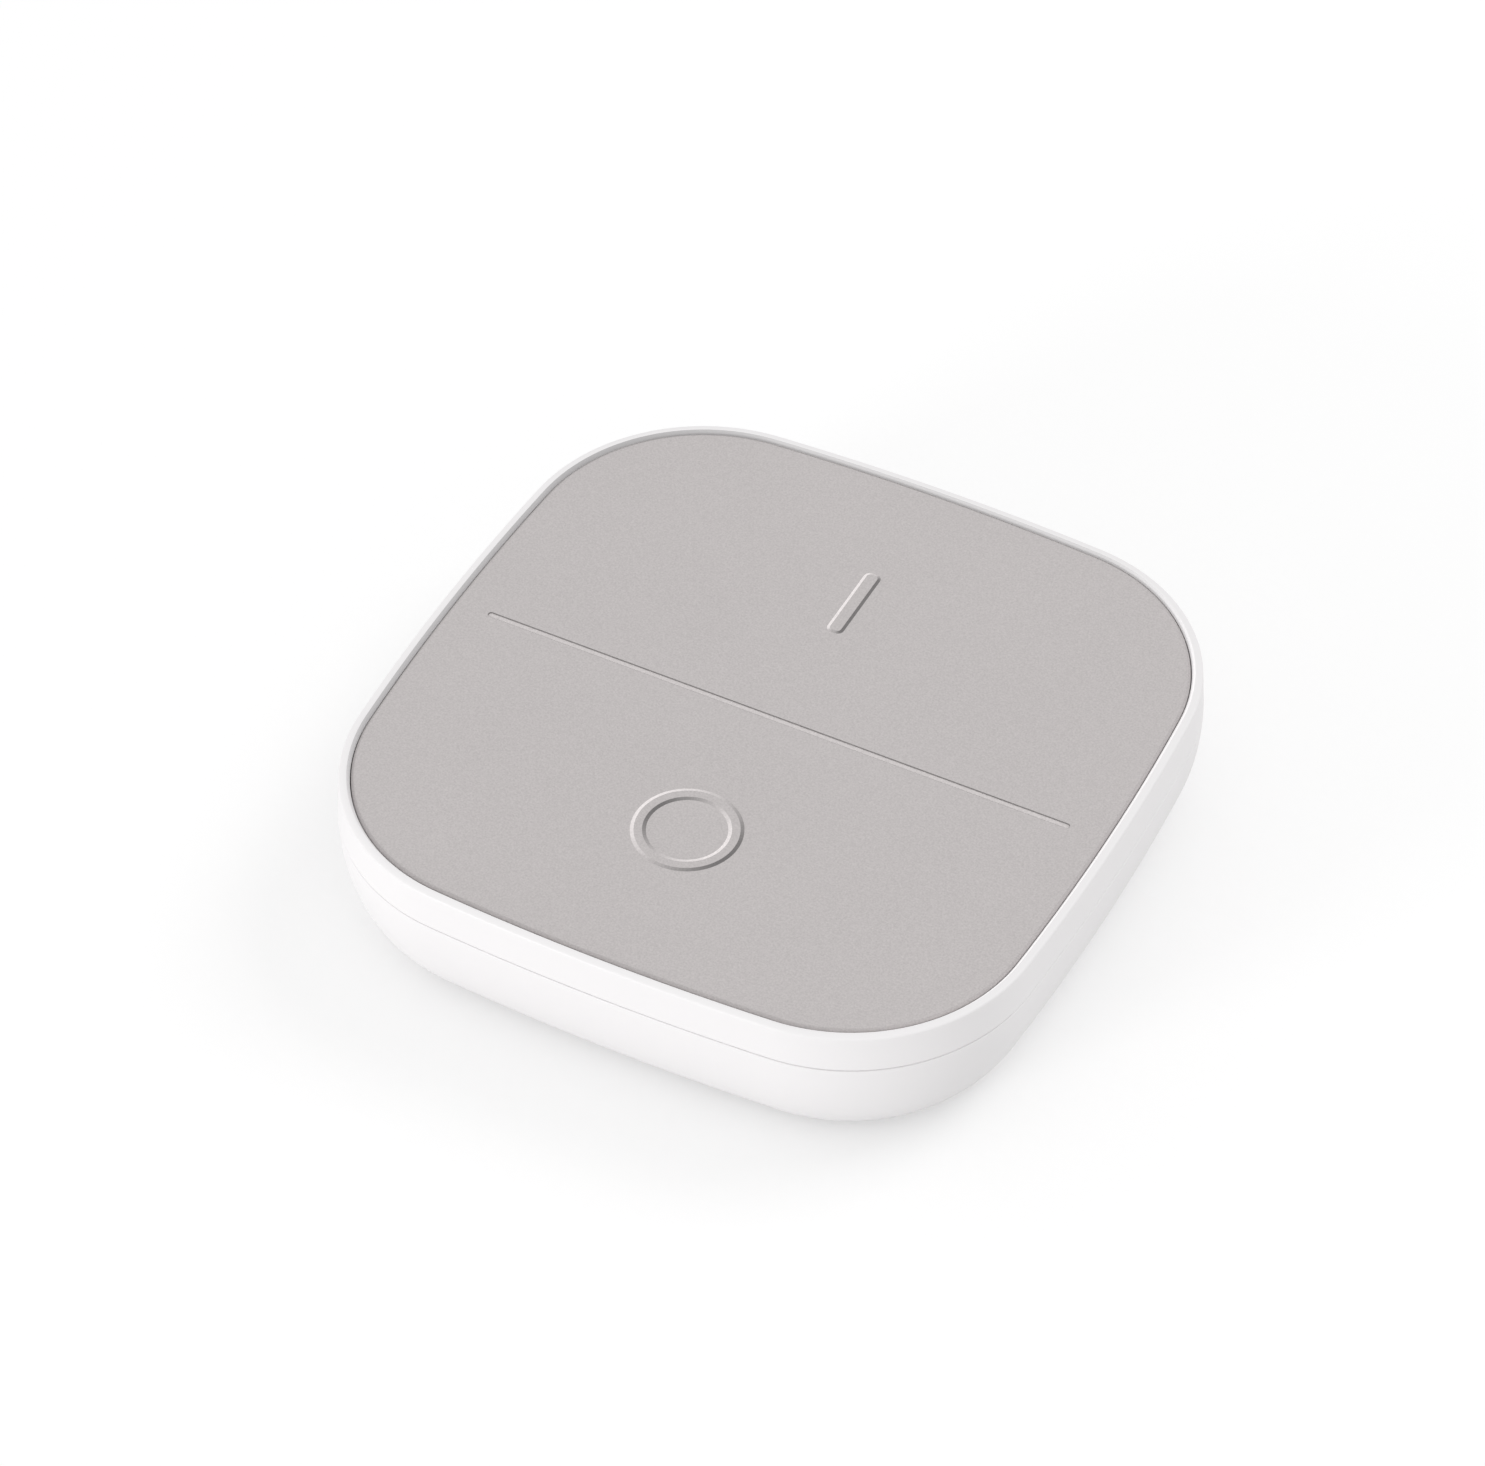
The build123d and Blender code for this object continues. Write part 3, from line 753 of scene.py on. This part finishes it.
# %% Key pads
PAD_SWELL = 0.23
PAD_ROUND = 0.3
SHADING_STRIP = 0.3
GROOVE_LENGTH = 51.9
GROOVE_WIDTH = 0.48
GROOVE_DEPTH = 0.1
GROOVE_ROUND = 0.04
RING_PLACE = (-0.4, -14.0)
BAR_PLACE = (-0.3, 14.6)
MARK_HEIGHT = 0.08
MARK_SLOPE = 0.15
MARK_ROUND = 0.1
RING_OUTER = 4.33
RING_INNER = 3.37
BAR_LENGTH = 7.3
BAR_WIDTH = 1.17
BAR_CORNER = 0.42
BAR_STEPS = ((1.0, 0.0), (-0.7, 0.88), (-1.3, 1.0))  # shares of the slope and of the height
MARKED_AREA = 20.0
GROOVE_BAND = 1.0
LEVEL_NORMAL = 0.985
# Mark slopes that face this way are painted pale, and those that face away are painted dark: painted
# highlight and shade.
PAINTED_LIGHT_SIDE = Vector((-0.956, 0.293, 0.0))
# The groove's sides are painted darker and its floor paler: painted shade and painted highlight.
GROOVE_SIDE_PAINTED_SHADE = -0.8
GROOVE_FLOOR_PAINTED_HIGHLIGHT = 0.4
# The pad's rounded edge is painted a little darker: painted shade.
PAD_EDGE_PAINTED_SHADE = -0.15
BEND_LENGTH = 1.5


def ring_mark(mesh):
    """The raised ring: a sloped section turned about its centre."""
    top = pad_top + MARK_HEIGHT
    pen = Pen(mesh, RING_OUTER + MARK_SLOPE, pad_top, at=RING_PLACE)
    pen.line(
        (RING_OUTER - MARK_SLOPE, top, MARK_ROUND),
        (RING_INNER + MARK_SLOPE, top, MARK_ROUND),
        (RING_INNER - MARK_SLOPE, pad_top),
    )
    turn_full(mesh, pen, 96)


def bar_outline(mesh, growth, height):
    """The bar's outline from above: a rectangle along Y with rounded corners."""
    across, along, corner = BAR_WIDTH / 2 + growth, BAR_LENGTH / 2 + growth, BAR_CORNER + growth
    x, y = across - corner, along - corner
    pen = Pen(mesh, across, -y, at=BAR_PLACE, level=height)
    for start, centre in (
        ((across, y), (x, y)),
        ((-x, along), (-x, y)),
        ((-across, -y), (-x, -y)),
        ((x, -along), (x, -y)),
    ):
        pen.straight(*start)
        pen.arc(centre, 90, 6)
    weld_end(pen)
    return pen


def whole_pad():
    """The pad before it is cut: sides, rounded edge, groove, marks, underside and top."""
    mesh = bmesh.new()
    edge = pad_reach + PAD_SWELL
    pen = Pen(mesh, edge, pad_low.z)
    pen.line((edge, pad_top, PAD_ROUND), (edge - PAD_ROUND - SHADING_STRIP, pad_top), steps=8)
    carry_round(mesh, pen)
    ring_mark(mesh)
    bar_steps = [(MARK_SLOPE * out, pad_top + MARK_HEIGHT * up) for out, up in BAR_STEPS]
    stack_outlines(mesh, bar_outline, bar_steps)
    groove_steps = [
        (GROOVE_ROUND + SHADING_STRIP, pad_top),
        (GROOVE_ROUND, pad_top),
        (GROOVE_ROUND * 0.3, pad_top - GROOVE_ROUND * 0.3),
        (0.0, pad_top - GROOVE_ROUND),
        (0.0, pad_top - GROOVE_DEPTH),
    ]
    stack_outlines(mesh, long_hole(GROOVE_LENGTH, GROOVE_WIDTH, (0, 0)), groove_steps)
    fill_level(mesh, pad_low.z)
    fill_level(mesh, pad_top)
    return mesh


def paint_light_on_slopes(mesh):
    """Paints highlight and shade on the marks' slopes, the groove and the pad's edge, from -1 to 1."""
    bmesh.ops.recalc_face_normals(mesh, faces=mesh.faces)
    tone = mesh.faces.layers.float.new("painted_light_and_shade")
    for face in mesh.faces:
        middle = face.calc_center_median() / MM
        near_marks = max(abs(middle.x), abs(middle.y)) < MARKED_AREA
        on_groove = abs(middle.y) < GROOVE_BAND and abs(middle.x) < pad_reach - GROOVE_BAND
        slope = Vector((face.normal.x, face.normal.y, 0.0)).normalized()
        # Painted highlight on the groove's floor, painted shade on its sides.
        if on_groove and face.normal.z > LEVEL_NORMAL and middle.z < pad_top - GROOVE_DEPTH / 2:
            face[tone] = GROOVE_FLOOR_PAINTED_HIGHLIGHT
        elif abs(face.normal.z) > LEVEL_NORMAL or middle.z < pad_top - PAD_ROUND:
            continue
        elif on_groove:
            face[tone] = GROOVE_SIDE_PAINTED_SHADE
        else:
            # Mark slopes are painted pale or dark by the way they face, and the pad's rounded edge is
            # painted darker: painted highlight and shade.
            face[tone] = slope.dot(PAINTED_LIGHT_SIDE) if near_marks else PAD_EDGE_PAINTED_SHADE


def half_pad(side):
    """The half of the pad on one side of the groove, with its cut closed."""
    mesh = whole_pad()
    everything = [*mesh.verts, *mesh.edges, *mesh.faces]
    cut = bmesh.ops.bisect_plane(
        mesh,
        geom=everything,
        dist=0.0001 * MM,
        plane_co=(0, 0, 0),
        plane_no=(0, side, 0),
        clear_inner=True,
    )
    cut_edges = [part for part in cut["geom_cut"] if isinstance(part, bmesh.types.BMEdge)]
    bmesh.ops.triangle_fill(mesh, use_beauty=True, use_dissolve=False, edges=cut_edges)
    paint_light_on_slopes(mesh)
    return mesh


for key, side in (("on", 1), ("off", -1)):
    bend = ((0, 0, pad_top * MM), (0, side * BEND_LENGTH * MM, pad_top * MM))
    pad = half_pad(side)
    make_piece(f"pad_{key}", pad, soft_grey, f"{key}_key", f"{key}_key_pad", bend)

# %% [markdown]
# ## Battery cover and feet
#
# Below, a round cover closes the battery well. It turns with a coin in its slot, and three lugs inside
# lock it. The cover is a turned line, with the slot as a stack of outlines. The feet are turned too,
# with a soft edge.

# %% Battery cover
RING_OUTSIDE = 13.75
RING_INSIDE = 12.6
RING_TOP = cover_high.z
FLANGE_TOP = base_z + 0.8
SLOT_LENGTH = 17.0
SLOT_WIDTH = 2.0
SLOT_DEPTH = 0.8
SLOT_ROUND = 0.12
SLOT_ROUND_MIDDLE = 0.035
FLANGE_ROUND = 0.2
OUTER_FILL_RADIUS = 10.0  # inside these, the fill closes the cover's two faces
INNER_FILL_RADIUS = 9.0
LUG_FOOT = 2.1
LUG_REACH = 15.2
LUG_DEGREES = 24

cover = bmesh.new()
cover_at = (0, cover_y)
pen = Pen(cover, OUTER_FILL_RADIUS, base_z, at=cover_at)
pen.line(
    (flange_radius, base_z, FLANGE_ROUND),
    (flange_radius, FLANGE_TOP),
    (RING_OUTSIDE, FLANGE_TOP),
    (RING_OUTSIDE, RING_TOP),
    (RING_INSIDE, RING_TOP),
    (RING_INSIDE, FLOOR_Z),
    (INNER_FILL_RADIUS, FLOOR_Z),
)
turn_full(cover, pen, 96)
slot_steps = [
    (SLOT_ROUND + SHADING_STRIP, base_z),
    (SLOT_ROUND, base_z),
    (SLOT_ROUND_MIDDLE, base_z + SLOT_ROUND_MIDDLE),
    (0.0, base_z + SLOT_ROUND),
    (0.0, base_z + SLOT_DEPTH),
]
stack_outlines(cover, long_hole(SLOT_LENGTH, SLOT_WIDTH, cover_at), slot_steps)
fill_level(cover, base_z)
fill_level(cover, FLOOR_Z)
lug = [(RING_INSIDE, LUG_FOOT), (LUG_REACH, LUG_FOOT), (LUG_REACH, RING_TOP), (RING_INSIDE, RING_TOP)]
for third in range(3):
    sector(cover, lug, cover_at, THIRD_TURN * third, LUG_DEGREES)
make_piece("battery_door_cover", cover, white_plastic, "battery_door", "battery_cover")

# %% Feet
FOOT_ROUND = 0.2

stands = bmesh.new()
for place in foot_places:
    pen = Pen(stands, 0, 0, at=place)
    pen.line((foot_radius, 0, FOOT_ROUND), (foot_radius, feet_high.z), (0, feet_high.z))
    turn_full(stands, pen)
make_piece("rubber_feet", stands, foot_rubber, "housing", "feet")

# %% [markdown]
# ## Finishes of the inner pieces
#
# The solids inside keep their shape and get a finish. Sheet metal shows the fine streaks of rolling, so
# its noise is stretched along one axis. The boards are green and blue solder mask over copper runs.


# %% Metals
STREAK_SCALE = 1000.0
TARNISH_SCALE = 200.0


def metal(name, colour, roughness, stretch, depth):
    """Rolled or plated metal: streaks along one axis in its colour, roughness and bump."""
    finish = Finish(name, Metallic=1.0)
    place = finish.tree.nodes.new("ShaderNodeTexCoord")
    along = finish.tree.nodes.new("ShaderNodeMapping")
    along.inputs["Scale"].default_value = stretch
    streaks = finish.tree.nodes.new("ShaderNodeTexNoise")
    streaks.inputs["Scale"].default_value = STREAK_SCALE
    streaks.inputs["Detail"].default_value = 4.0
    finish.link(place.outputs["Object"], along.inputs["Vector"])
    finish.link(along.outputs["Vector"], streaks.inputs["Vector"])
    slow = finish.group(DRIFT, Scale=TARNISH_SCALE)
    mask = streaks.outputs["Fac"]
    streaked = finish.colours(mask, [(0.3, shade(colour, 0.9)), (0.7, shade(colour, 1.08))])
    tarnish = finish.colours(
        slow.outputs["Drift"], [(0.35, shade(colour, 0.88)), (0.65, shade(colour, 1.05))]
    )
    finish.link(finish.mix(0.4, streaked, tarnish), finish.shader.inputs["Base Color"])
    finish.link(finish.span(mask, roughness * 0.8, roughness * 1.25), finish.shader.inputs["Roughness"])
    finish.bump(mask, depth)
    return finish.material


spring_steel = metal("spring_steel", (0.62, 0.61, 0.58), 0.22, (1.0, 12.0, 1.0), 0.000002)
tin_plate = metal("tin_plate", (0.68, 0.68, 0.67), 0.35, (8.0, 1.0, 1.0), 0.000003)
nickel_plate = metal("nickel_plate", (0.66, 0.63, 0.57), 0.25, (6.0, 1.0, 1.0), 0.000002)
screw_steel = metal("screw_steel", (0.55, 0.55, 0.55), 0.38, (3.0, 3.0, 1.0), 0.000003)
cell_case = metal("cell_case", (0.7, 0.7, 0.69), 0.2, (1.0, 1.0, 9.0), 0.000002)


# %% Boards and small parts
RUN_SCALE = 260.0
RUN_GAP = 0.035
RUN_DEPTH = 0.00002
BAND_PITCH = 4.0


def board(name, mask_colour, copper_colour):
    """Solder mask with faint copper runs under it."""
    finish = Finish(name, Specular_IOR_Level=0.55, Coat_Weight=0.3, Coat_Roughness=0.2)
    place = finish.tree.nodes.new("ShaderNodeTexCoord")
    runs = finish.tree.nodes.new("ShaderNodeTexBrick")
    runs.inputs["Scale"].default_value = RUN_SCALE
    runs.inputs["Mortar Size"].default_value = RUN_GAP
    runs.inputs["Color1"].default_value = (0.0, 0.0, 0.0, 1.0)
    runs.inputs["Color2"].default_value = (0.15, 0.15, 0.15, 1.0)
    runs.inputs["Mortar"].default_value = (1.0, 1.0, 1.0, 1.0)
    finish.link(place.outputs["Object"], runs.inputs["Vector"])
    base = finish.colours(runs.outputs["Color"], [(0.0, mask_colour), (1.0, copper_colour)])
    slow = finish.group(DRIFT, Scale=120.0)
    drifting = finish.colours(
        slow.outputs["Drift"], [(0.3, shade(mask_colour, 0.9)), (0.7, shade(mask_colour, 1.1))]
    )
    finish.link(finish.mix(0.35, base, drifting), finish.shader.inputs["Base Color"])
    finish.link(finish.span(slow.outputs["Drift"], 0.28, 0.4), finish.shader.inputs["Roughness"])
    finish.bump(runs.outputs["Fac"], RUN_DEPTH)
    return finish.material


def chip_parts(name, body_colour, end_colour):
    """Small chip parts: a sintered body with tinned ends at a regular pitch along X."""
    finish = Finish(name)
    place = finish.tree.nodes.new("ShaderNodeTexCoord")
    bands = finish.tree.nodes.new("ShaderNodeTexWave")
    bands.inputs["Scale"].default_value = FULL_TURN / (20 * BAND_PITCH * MM)
    bands.inputs["Distortion"].default_value = 0.0
    finish.link(place.outputs["Object"], bands.inputs["Vector"])
    grain = finish.group(GRAIN, Scale=12000.0)
    stops = [(0.0, end_colour), (0.35, body_colour)]
    banded = finish.colours(bands.outputs["Fac"], stops)
    speckled = finish.colours(
        grain.outputs["Speckle"], [(0.3, shade(body_colour, 0.85)), (0.7, shade(body_colour, 1.15))]
    )
    finish.link(finish.mix(0.4, banded, speckled), finish.shader.inputs["Base Color"])
    finish.link(finish.span(grain.outputs["Speckle"], 0.35, 0.6), finish.shader.inputs["Roughness"])
    finish.bump(grain.outputs["Height"], 0.000004)
    return finish.material


board_laminate = board("board_laminate", (0.03, 0.19, 0.08), (0.12, 0.3, 0.1))
module_laminate = board("module_laminate", (0.02, 0.05, 0.11), (0.06, 0.12, 0.2))
small_part_body = chip_parts("small_part_body", (0.42, 0.33, 0.24), (0.7, 0.7, 0.69))

# %% [markdown]
# Each switch holds a snap dome, a thin cap of sheet steel that buckles under the plunger. The domes are
# drawn again here, each with a mesh of its own.

# %% Snap domes
DOME_SHEET = 0.1
DOME_STEPS = 12


def snap_dome(key):
    """The dome of one switch: a cap of a sphere with an even thickness, on the housing, with a mesh of
    its own.
    """
    solid = f"{key}_switch_dome"
    low, high = size_of(solid)
    middle = (low + high) / 2
    radius, height = high.x - middle.x, high.z - low.z
    ball = (radius**2 + height**2) / (2 * height)
    drop = ball - height
    centre = (0, low.z - drop)
    mesh = bmesh.new()
    pen = Pen(mesh, 0, high.z - DOME_SHEET, at=(middle.x, middle.y))
    pen.arc(centre, -math.degrees(math.acos(drop / (ball - DOME_SHEET))), DOME_STEPS)
    pen.straight(radius, low.z)
    pen.arc(centre, math.degrees(math.asin(radius / ball)), DOME_STEPS)
    turn_full(mesh, pen, 48)
    dome = make_piece(f"snap_dome_{key}", mesh, spring_steel, "housing", solid)
    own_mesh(dome)


snap_dome("on")
snap_dome("off")

# %% [markdown]
# The record names a material slot for each solid, so the finishes are handed out by that name, and no
# solid can be forgotten.

# %% Dress the solids
FINISHES = {
    "white_plastic": white_plastic,
    "soft_grey": soft_grey,
    "foot_rubber": foot_rubber,
    "carrier_plastic": carrier_plastic,
    "switch_plastic": switch_plastic,
    "plunger_plastic": plunger_plastic,
    "chip_plastic": chip_plastic,
    "board_laminate": board_laminate,
    "module_laminate": module_laminate,
    "small_part_body": small_part_body,
    "spring_steel": spring_steel,
    "tin_plate": tin_plate,
    "nickel_plate": nickel_plate,
    "screw_steel": screw_steel,
    "cell_case": cell_case,
}
for row in frame["record"]["subparts"]:
    solid = frame["nodes"][row["node"]]
    if solid.data.materials:
        for index in range(len(solid.data.materials)):
            solid.data.materials[index] = FINISHES[row["material_slot"]]
    else:
        solid.data.materials.append(FINISHES[row["material_slot"]])

# %% [markdown]
# ## Floor, light and camera
#
# The controller lies on a white sheet in a white room. The room lights it evenly from all sides. A low
# soft light in front, a little to the left, lifts the sides that the camera sees most, and a weak high
# one behind lays the soft shadow towards the camera. To the camera the sheet glows a little, so that it
# shows plain white where no shadow falls.


# %% Floor
FLOOR_GLOW = 0.3
FLOOR_REFLECTANCE = 0.75
FLOOR_HALF_SIZE = 3.0  # metres


def white_floor():
    """A pale floor that glows a little to the camera."""
    material = bpy.data.materials.new("floor_paper")
    material.use_nodes = True
    tree = material.node_tree
    shader = tree.nodes["Principled BSDF"]
    shader.inputs["Base Color"].default_value = (*[FLOOR_REFLECTANCE] * 3, 1.0)
    shader.inputs["Roughness"].default_value = 0.9
    shader.inputs["Specular IOR Level"].default_value = 0.0
    shader.inputs["Emission Color"].default_value = (1.0, 1.0, 1.0, 1.0)
    path = tree.nodes.new("ShaderNodeLightPath")
    seen = tree.nodes.new("ShaderNodeMath")
    seen.operation = "MAXIMUM"
    tree.links.new(path.outputs["Is Camera Ray"], seen.inputs[0])
    tree.links.new(path.outputs["Is Glossy Ray"], seen.inputs[1])
    glow = tree.nodes.new("ShaderNodeMath")
    glow.operation = "MULTIPLY"
    glow.inputs[1].default_value = FLOOR_GLOW
    tree.links.new(seen.outputs["Value"], glow.inputs[0])
    tree.links.new(glow.outputs["Value"], shader.inputs["Emission Strength"])
    mesh = bmesh.new()
    bmesh.ops.create_grid(mesh, x_segments=1, y_segments=1, size=FLOOR_HALF_SIZE)
    data = bpy.data.meshes.new("floor")
    mesh.to_mesh(data)
    mesh.free()
    data.materials.append(material)
    floor = bpy.data.objects.new("floor", data)
    bpy.context.scene.collection.objects.link(floor)


white_floor()


# %% Light
def white_room(strength):
    """An even white room: plain white to the camera, and a chosen strength as light."""
    world = bpy.data.worlds.new("white_room")
    bpy.context.scene.world = world
    world.use_nodes = True
    tree = world.node_tree
    light = tree.nodes["Background"]
    light.inputs["Color"].default_value = (1.0, 1.0, 1.0, 1.0)
    path = tree.nodes.new("ShaderNodeLightPath")
    level = tree.nodes.new("ShaderNodeMapRange")
    level.inputs["To Min"].default_value = strength
    level.inputs["To Max"].default_value = 1.0
    tree.links.new(path.outputs["Is Camera Ray"], level.inputs["Value"])
    tree.links.new(level.outputs["Result"], light.inputs["Strength"])


def softbox(name, azimuth, elevation, distance, size, power):
    """A square soft light aimed at the controller, in degrees, metres and watts.

    Azimuth 0 is on the -Y side and 90 on the +X side.
    """
    lamp = bpy.data.lights.new(name, "AREA")
    lamp.shape = "SQUARE"
    lamp.size = size
    lamp.energy = power
    light = bpy.data.objects.new(name, lamp)
    turn, rise = math.radians(azimuth), math.radians(elevation)
    back = Vector((math.sin(turn) * math.cos(rise), -math.cos(turn) * math.cos(rise), math.sin(rise)))
    light.location = back * distance
    light.rotation_euler = (-back).to_track_quat("-Z", "Y").to_euler()
    bpy.context.scene.collection.objects.link(light)


white_room(0.78)
softbox("front_light", -25, 8, 1.0, 0.27, 3.3)
softbox("back_light", 140, 50, 1.0, 0.5, 1.68)

# %% [markdown]
# The camera stands about half a metre away, 45 degrees up, to the right of the front. Its place was
# worked out from the pad's outline in the photograph: the bowed sides and round corners give the
# angles, and how the far side narrows gives the distance and so the lens.

# %% Camera
IMAGE_WIDTH = 1485
FOCAL_PIXELS = 6416.0
PAD_OPENING = 29.23
VIEW_AZIMUTH = math.radians(27.8)
VIEW_ELEVATION = math.radians(45.34)
VIEW_ROLL = math.radians(-0.32)
VIEW_DISTANCE = 17.42 * PAD_OPENING
VIEW_RIGHT = -0.0859 * PAD_OPENING
VIEW_UP = -0.0428 * PAD_OPENING

cos_rise = math.cos(VIEW_ELEVATION)
back = Vector(
    (
        math.sin(VIEW_AZIMUTH) * cos_rise,
        -math.cos(VIEW_AZIMUTH) * cos_rise,
        math.sin(VIEW_ELEVATION),
    )
)
right = Vector((0, 0, 1)).cross(back).normalized()
up = back.cross(right)
level_axes = Matrix((right, up, back)).transposed()
axes = level_axes @ Matrix.Rotation(VIEW_ROLL, 3, "Z")
eye = Vector((0, 0, rim_z)) + axes @ Vector((VIEW_RIGHT, VIEW_UP, VIEW_DISTANCE))

lens = bpy.data.cameras.new("camera")
lens.sensor_width = 36.0
lens.lens = lens.sensor_width * FOCAL_PIXELS / IMAGE_WIDTH
lens.clip_start = 0.01
lens.clip_end = 20.0
camera = bpy.data.objects.new("camera", lens)
camera.matrix_world = Matrix.Translation(eye * MM) @ axes.to_4x4()
bpy.context.scene.collection.objects.link(camera)
bpy.context.scene.camera = camera
bpy.context.scene.view_settings.view_transform = "Standard"
print("camera at", [round(value * MM, 4) for value in eye], "lens", round(lens.lens, 2))
